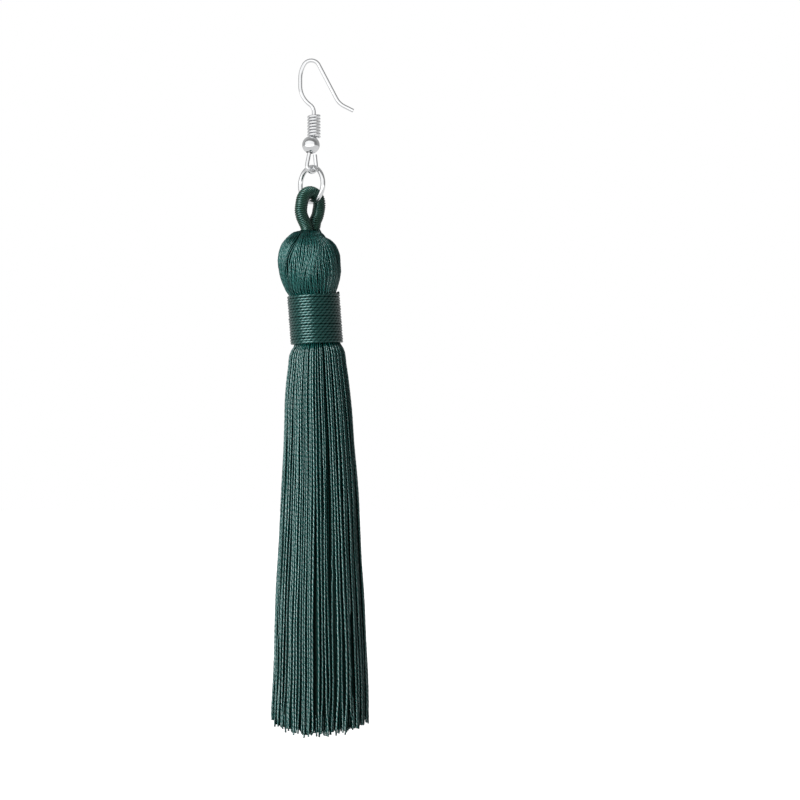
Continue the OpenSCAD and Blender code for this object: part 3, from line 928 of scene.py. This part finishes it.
class EARRING_OT_skirt(bpy.types.Operator):
    """Hang the outer threads of the skirt and fill its cut end"""
    bl_idname = "earring.skirt"
    bl_label = "Hang Skirt Threads"

    def execute(self, context):
        threads = context.scene.earring_threads
        rng = np.random.default_rng(11)
        self.lay(context, threads, rng)
        self.fill(context, threads, rng)
        return {"FINISHED"}

    def lay(self, context, threads, rng):
        """The outer threads in two layers, each thread with its own length, course and width."""
        count = threads.skirt_count
        drop = even_steps(skirt_form, SKIRT[0, 0], 1.0, threads.twist / TWIST_STEPS)
        run = (drop - drop[0]) / (drop[-1] - drop[0])
        uneven = ease(run * 3)
        number = np.arange(count)
        even = (number + rng.uniform(-JITTER, JITTER, count))[:, None] / count
        arc = CUT_ARC * np.sin(skirt_bearing(even)) ** 2
        ends = 1 + (rng.normal(0, 0.5, (count, 1)) * threads.ragged + arc - CUT_LIFT) / SKIRT_H
        along = drop[0] + (drop - drop[0]) * (ends - drop[0]) / (1 - drop[0])
        bunch = sum(size * np.sin(TURN * (wave * even + drift * run) + phase)
                    for size, wave, drift, phase in BUNCHES)
        splay = rng.normal(0, SPLAY / count, (count, 1)) * ease((run - 0.9) * 10)
        slow = wander(rng, count, run, *SKIRT_WANDER) / count
        short = wander(rng, count, run, *SKIRT_TREMBLE) / count
        turn = even + splay + uneven * (bunch + slow + short)

        depth = UNDER * (number % 2)[:, None] + rng.uniform(0, SKIRT_DEPTH, (count, 1))
        sink = np.maximum(0, depth + uneven * wander(rng, count, run, *SKIRT_RISE))
        width = threads.width * rng.uniform(*SKIRT_WIDTHS, (count, 1))
        radius = width / 2 * (NECK_WIDTH + (1 - NECK_WIDTH) * ease(run * 2))
        points, length = lay_threads(rng, skirt_form, turn, along, sink, radius, threads)
        # Painted shade: each thread's colour and gloss fall towards its end, over a tone that
        # differs at random
        shade = np.outer(rng.uniform(*SKIRT_SHADES, count), 1 - PAINTED_EDGE_SHADE * run)
        parts = ("upper_threads_a", "under_threads_a", "upper_threads_b", "under_threads_b")
        for part, name in enumerate(parts):
            piece = tubes_piece(name, points[part::4], "drop", length, shade[part::4])
            # The under layer takes the darker, dull copy of the thread: painted shade
            kind = "Shaded Thread" if part % 2 else "Tassel Thread"
            piece.data.materials.append(thread(context, kind))

    def fill(self, context, threads, rng):
        """The ends of the inner threads, spread evenly over the cut by the golden angle."""
        count = threads.end_count
        share = np.sqrt((np.arange(count) + 0.5) / count)
        bearing = GOLDEN * np.arange(count)
        reach = share * (SKIRT_R - FURROW - 0.5 * threads.width)
        foot = np.stack([NECK_LOW[0] + SKIRT[-1, 2] * SKIRT_R + reach * np.cos(bearing),
                         HANG[1] + reach * np.sin(bearing)], 1)
        foot += rng.normal(0, END_SHIFT, foot.shape)
        edge = NECK_LOW[1] - SKIRT_H - CUT_ARC * (1 - (reach * np.cos(bearing) / SKIRT_R) ** 2)
        edge += CUT_LIFT + rng.normal(0, 0.5, count) * threads.ragged
        rise = np.linspace(END_LENGTH, 0, END_STEPS)
        lean = rng.normal(0, END_LEAN, (count, 2))
        paths = np.concatenate([foot[:, None] - lean[:, None] * rise[:, None],
                                (edge[:, None] + rise)[..., None]], 2)
        out = np.stack([np.cos(bearing), np.sin(bearing), 0 * bearing], 1)[:, None] + 0 * paths
        twist = rng.uniform(0, TURN, (count, 1)) - TURN * (END_LENGTH - rise) / threads.twist
        points = sweep(paths, out, threads.width / 2, END_SIDES, twist, END_PLY)
        shade = rng.uniform(*END_SHADES, count)
        ends = tubes_piece("cut_ends", points, "drop", END_LENGTH, shade)
        ends.data.materials.append(thread(context, "Tassel Thread"))


class EARRING_OT_core(bpy.types.Operator):
    """Fill the tassel under its threads with a dark core of painted shade"""
    bl_idname = "earring.core"
    bl_label = "Fill Core"

    def execute(self, context):
        around = np.arange(CORE_POINTS)[:, None] / CORE_POINTS

        def inset(form, across, along, depth):
            across, along = np.broadcast_arrays(across, along)
            out = outward(form, across, along, 1e-3, 1e-3)
            return (form(across, along) - depth * out).transpose(1, 0, 2)

        stages = np.linspace(CORE_START, len(HEAD) - 1.0, CORE_RINGS)
        head = inset(head_form, TURN * around, stages, HEAD_INSET)
        skirt = inset(skirt_form, around, np.linspace(-0.01, 1.0, CORE_RINGS), SKIRT_INSET)
        level = skirt[-1].mean(0)
        close = [level + share * (skirt[-1] - level) + [0, 0, CORE_DOME * share ** 2]
                 for share in (0.97, 0.8, 0.5)]
        core = skin_piece("tassel_core", np.concatenate([head, skirt, close]), "drop")
        core.data.materials.append(shared("Tassel Core", core_finish))
        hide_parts("tassel")
        return {"FINISHED"}


class EARRING_OT_binding(bpy.types.Operator):
    """Wind the binding of twisted thread round the neck"""
    bl_idname = "earring.binding"
    bl_label = "Wind Binding"

    def execute(self, context):
        threads = context.scene.earring_threads
        turns = context.scene.earring_windings.wrap_turns
        pitch = WRAP_H / turns
        a = np.linspace(0, TURN * turns, turns * WRAP_STEPS)
        axis = np.array([math.sin(NECK_LEAN), 0, -math.cos(NECK_LEAN)])
        level = np.array([math.cos(NECK_LEAN), 0, math.sin(NECK_LEAN)])
        out = np.outer(np.cos(a), level) + np.outer(np.sin(a), [0, 1, 0])
        rng = np.random.default_rng(3)
        loose = wander(rng, 1, a / TURN, *WRAP_RISE)[0]
        shift = wander(rng, 1, a / TURN, *WRAP_SHIFT)[0]
        reach = WRAP_R - pitch / 2 - WRAP_INSET + loose
        down = pitch / 2 + (WRAP_H - pitch) * a / a[-1] + shift
        top = np.array([NECK_TOP[0], HANG[1], NECK_TOP[1]])
        path = top + reach[:, None] * out + down[:, None] * axis
        piece = wound_piece("neck_binding", path, out, pitch * WRAP_FILL, threads.ply,
                            threads.twist)
        piece.data.materials.append(thread(context, "Wound Thread"))
        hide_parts("neck_wrap")
        return {"FINISHED"}


class EARRING_OT_stage(bpy.types.Operator):
    """Set up the floor, the lights and the camera"""
    bl_idname = "earring.stage"
    bl_label = "Set Up Stage"

    def execute(self, context):
        stage = context.scene.earring_stage
        low = CAD_BOX[0].z - stage.floor_drop
        corners = [[x * FLOOR_REACH, y * FLOOR_REACH, low]
                   for x, y in ((-1, -1), (1, -1), (1, 1), (-1, 1))]
        mesh = bpy.data.meshes.new("floor")
        mesh.from_pydata(corners, [], [[0, 1, 2, 3]])
        floor = bpy.data.objects.new("floor", mesh)
        context.scene.collection.objects.link(floor)
        pale, tree, shader = new_material("Pale Floor")
        seen = add_node(tree, "ShaderNodeLightPath").outputs["Is Camera Ray"]
        feed(tree, shader, {
            "Emission Color": (1, 1, 1, 1),
            "Emission Strength": maths(tree, "MULTIPLY_ADD", seen, FLOOR_SEEN, FLOOR_GLOW),
            "Base Color": (*stage.floor_colour, 1), "Roughness": 0.9})
        mesh.materials.append(pale)

        pieces = [piece for piece in context.scene.objects if piece.type == "MESH"]
        wire = [piece for piece in pieces
                if any(held.material == silver(context) for held in piece.material_slots)]
        threads = [piece for piece in pieces if piece not in wire and piece != floor]
        for name, (place, size, power, lit, reflected) in LIGHTS.items():
            holder = self.light(context, name, place, size, power,
                                wire if lit == "wire" else threads)
            holder.visible_glossy = reflected

        world = bpy.data.worlds.new("Studio")
        context.scene.world = world
        world.use_nodes = True
        tree = world.node_tree
        tree.nodes.clear()
        place = add_node(tree, "ShaderNodeTexCoord").outputs["Generated"]
        towards = add_node(tree, "ShaderNodeSeparateXYZ", {"Vector": place}).outputs
        ray = add_node(tree, "ShaderNodeLightPath").outputs
        depth = ramp(tree, towards["Y"], (-0.3, 0.4), (ROOM_FRONT, ROOM_BACK), "SMOOTHSTEP")
        side = ramp(tree, towards["X"], (-0.2, 0.8), (1.0, ROOM_RIGHT))
        dull = ramp(tree, ray["Is Diffuse Ray"], (0, 1), (1.0, ROOM_DULL))
        level = maths(tree, "MULTIPLY", maths(tree, "MULTIPLY", depth, side), dull)
        pale, white = (add_node(tree, "ShaderNodeBackground", {
            "Color": (1, 1, 1, 1), "Strength": strength}).outputs[0] for strength in (level, 1.0))
        mix = add_node(tree, "ShaderNodeMixShader", {0: ray["Is Camera Ray"], 1: pale, 2: white})
        add_node(tree, "ShaderNodeOutputWorld", {"Surface": mix.outputs[0]})

        camera = bpy.data.objects.new("camera", bpy.data.cameras.new("camera"))
        context.scene.collection.objects.link(camera)
        camera.data.lens = camera.data.sensor_width * stage.distance / stage.view_width
        camera.location = (CAMERA_AT[0], -stage.distance, CAMERA_AT[1])
        camera.rotation_euler = (math.pi / 2, 0, 0)
        context.scene.camera = camera
        context.scene.view_settings.view_transform = "Standard"
        return {"FINISHED"}

    def light(self, context, name, place, size, power, pieces):
        """A soft rectangular light that faces the middle of the earring and lights only the given
        pieces. Gives the object that holds it."""
        lamp = bpy.data.lights.new(name, "AREA")
        lamp.shape = "RECTANGLE"
        lamp.size, lamp.size_y = size
        lamp.energy = power
        holder = bpy.data.objects.new(name, lamp)
        context.scene.collection.objects.link(holder)
        holder.location = place
        lit = bpy.data.collections.new(name)
        for piece in pieces:
            lit.objects.link(piece)
        holder.light_linking.receiver_collection = lit
        aim = LIGHTS_AIM - holder.location
        holder.rotation_euler = aim.to_track_quat("-Z", "Y").to_euler()
        return holder


class EARRING_PT_panel(bpy.types.Panel):
    """Settings of the earring and the steps that make it"""
    bl_idname = "EARRING_PT_panel"
    bl_label = "Tassel Earring"
    bl_space_type = "VIEW_3D"
    bl_region_type = "UI"
    bl_category = "Earring"

    def draw(self, context):
        for name, group in GROUPS.items():
            box = self.layout.box()
            for field in group.__annotations__:
                box.prop(getattr(context.scene, name), field)
        for operator in OPERATORS:
            self.layout.operator(operator.bl_idname)


OPERATORS = (
    EARRING_OT_wire,
    EARRING_OT_coil,
    EARRING_OT_loop,
    EARRING_OT_core,
    EARRING_OT_head,
    EARRING_OT_binding,
    EARRING_OT_skirt,
    EARRING_OT_stage,
)
CLASSES = (*GROUPS.values(), *OPERATORS, EARRING_PT_panel)


def register():
    for cls in CLASSES:
        bpy.utils.register_class(cls)
    for name, group in GROUPS.items():
        setattr(bpy.types.Scene, name, PointerProperty(type=group))


def unregister():
    for name in GROUPS:
        delattr(bpy.types.Scene, name)
    for cls in reversed(CLASSES):
        bpy.utils.unregister_class(cls)


def main():
    register()
    bpy.ops.earring.wire()
    bpy.ops.earring.coil()
    bpy.ops.earring.loop()
    bpy.ops.earring.core()
    bpy.ops.earring.head()
    bpy.ops.earring.binding()
    bpy.ops.earring.skirt()
    bpy.ops.earring.stage()


if __name__ == "__main__":
    main()
